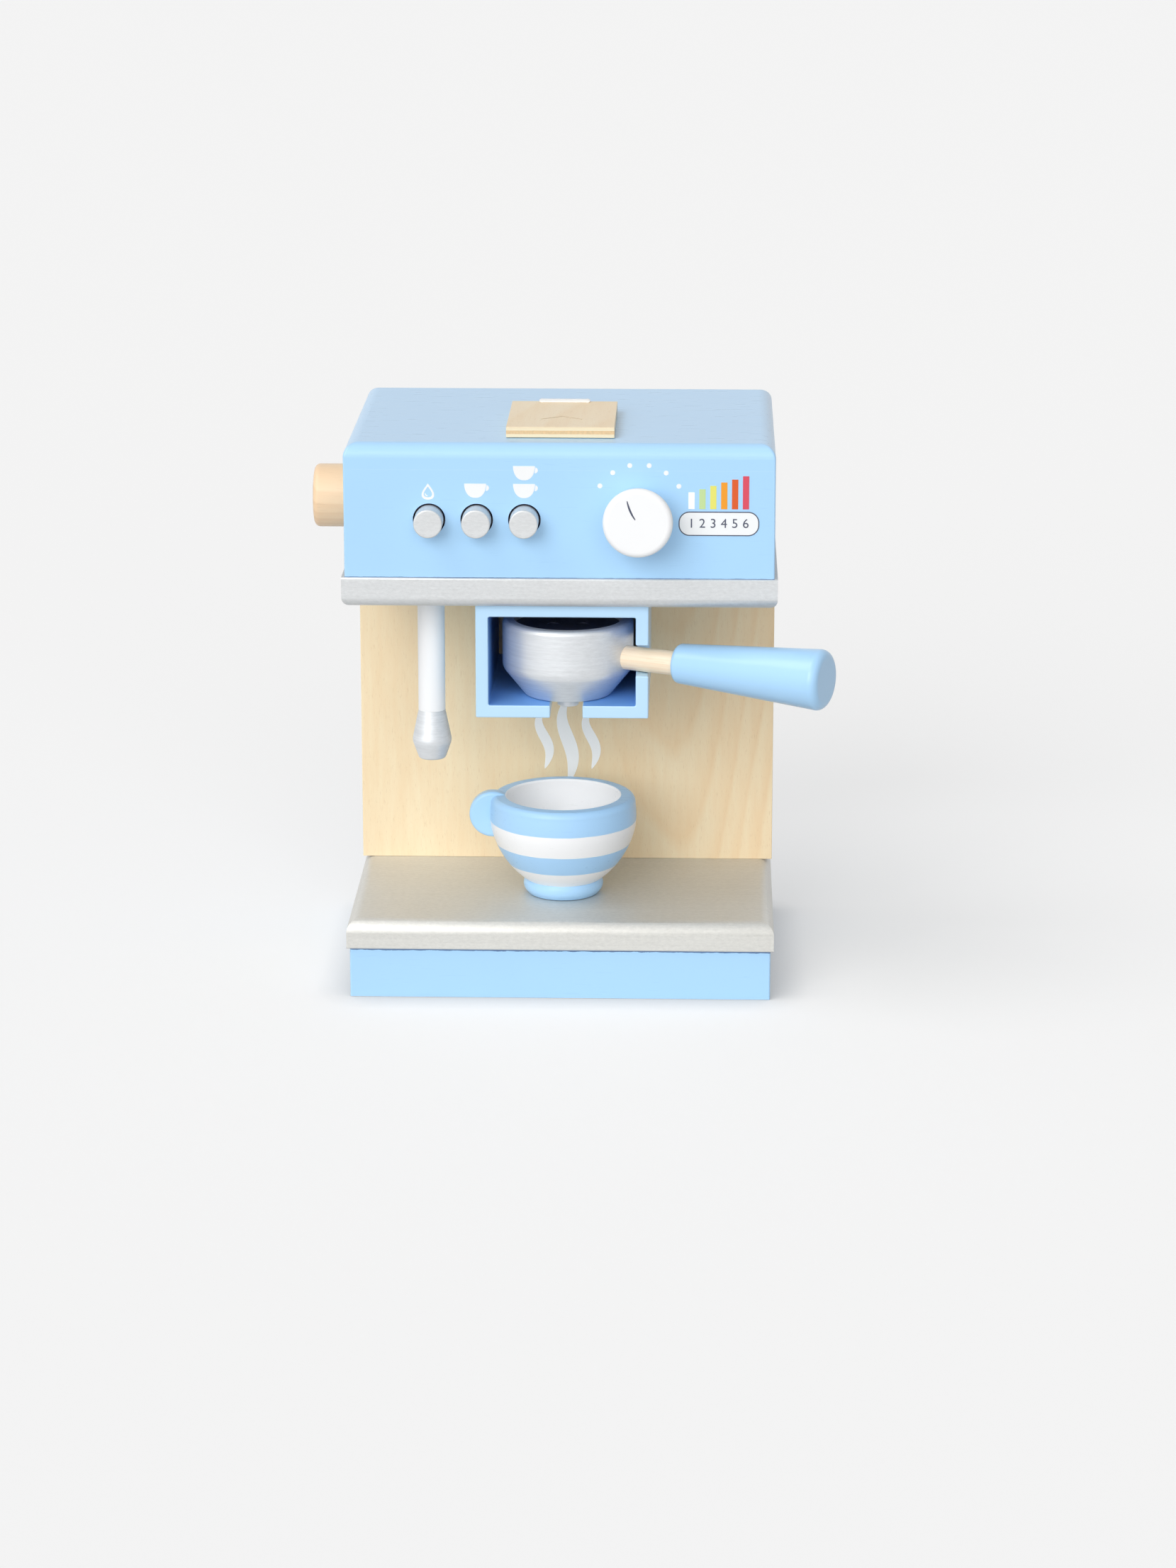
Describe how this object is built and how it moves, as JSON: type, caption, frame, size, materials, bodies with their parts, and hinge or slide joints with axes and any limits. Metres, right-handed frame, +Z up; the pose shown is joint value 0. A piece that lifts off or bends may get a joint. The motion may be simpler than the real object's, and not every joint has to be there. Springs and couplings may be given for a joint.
{
  "type": "toy coffee maker",
  "caption": "Wooden toy espresso machine with push buttons, dial, steam knob and wand, flap lid over a pod well, portafilter in a slotted holder and a striped cup on its tray.",
  "frame": {"origin": "centre of the plinth's underside", "axes": "+Z up, -Y out of the front with the buttons and dial, +X to the right seen from the front"},
  "size_m": [0.2467, 0.1878, 0.274],
  "materials": {
    "blue_paint": "satin light blue paint on wood",
    "silver_paint": "brushed silver paint on wood",
    "plywood": "clear lacquered birch plywood",
    "beech": "natural turned beech, clear lacquer",
    "white_paint": "satin white paint on turned wood",
    "dark_paint": "matt dark grey paint",
    "ribbon": "white woven elastic ribbon",
    "steel": "bright zinc plated steel",
    "cup_paint": "satin blue and white painted stripes on turned wood"
  },
  "bodies": {
    "case": {"base_plate": "plywood", "plinth_front": "blue_paint", "plinth_back": "blue_paint", "plinth_left": "blue_paint", "plinth_right": "blue_paint", "tray_board": "silver_paint", "band_board": "silver_paint", "back_board": "plywood", "column_left": "blue_paint", "column_right": "blue_paint", "rear_panel": "blue_paint", "rear_screws": "steel", "head_front": "blue_paint", "head_back": "blue_paint", "head_left": "blue_paint", "head_right": "blue_paint", "head_top": "blue_paint", "spring_rail": "plywood", "well_left": "plywood", "well_right": "plywood", "well_back": "plywood", "ribbon_tail": "ribbon", "holder_top": "blue_paint", "holder_left": "blue_paint", "holder_right": "blue_paint", "holder_bottom": "blue_paint", "wand_tube": "white_paint", "wand_tip": "silver_paint", "spring_1": "steel", "spring_2": "steel", "spring_3": "steel"},
    "lid": {"lid": "plywood", "ribbon_leaf": "ribbon"},
    "button_1": {"button_1": "silver_paint"},
    "button_2": {"button_2": "silver_paint"},
    "button_3": {"button_3": "silver_paint"},
    "dial": {"dial": "white_paint", "dial_shaft": "beech", "dial_washer": "beech"},
    "steam_knob": {"steam_knob": "beech", "steam_shaft": "beech", "steam_washer": "beech"},
    "spout": {"filter_spout": "silver_paint"},
    "portafilter": {"filter_basket": "silver_paint", "filter_disc": "dark_paint", "filter_neck": "beech", "filter_grip": "blue_paint"},
    "cup": {"cup_body": "cup_paint", "cup_handle": "blue_paint"}
  },
  "joints": [
    {"name": "lid_hinge", "type": "hinge", "parent": "case", "child": "lid", "pos_m": [0, 0.0087, 0.2685], "axis": [-1, 0, 0], "range_deg": [0, 100]},
    {"name": "button_1_push", "type": "slide", "parent": "case", "child": "button_1", "axis": [0, 1, 0], "range_m": [0, 0.006], "stiffness_N_per_m": 250, "springref_m": -0.004, "deforming": ["spring_1"]},
    {"name": "button_2_push", "type": "slide", "parent": "case", "child": "button_2", "axis": [0, 1, 0], "range_m": [0, 0.006], "stiffness_N_per_m": 250, "springref_m": -0.004, "deforming": ["spring_2"]},
    {"name": "button_3_push", "type": "slide", "parent": "case", "child": "button_3", "axis": [0, 1, 0], "range_m": [0, 0.006], "stiffness_N_per_m": 250, "springref_m": -0.004, "deforming": ["spring_3"]},
    {"name": "dial_turn", "type": "hinge", "parent": "case", "child": "dial", "pos_m": [0.0367, -0.075, 0.2355], "axis": [0, -1, 0], "continuous": true},
    {"name": "steam_turn", "type": "hinge", "parent": "case", "child": "steam_knob", "pos_m": [-0.1, -0.018, 0.232], "axis": [-1, 0, 0], "continuous": true},
    {"name": "portafilter_slide", "type": "slide", "parent": "case", "child": "spout", "axis": [0, -1, 0], "range_m": [0, 0.11]},
    {"name": "portafilter_turn", "type": "hinge", "parent": "spout", "child": "portafilter", "pos_m": [0.003, -0.044, 0.163], "axis": [0, 0, 1], "range_deg": [-65, 25]},
    {"name": "cup_slide", "type": "slide", "parent": "case", "child": "cup", "axis": [0, -1, 0], "range_m": [0, 0.12]}
  ]
}
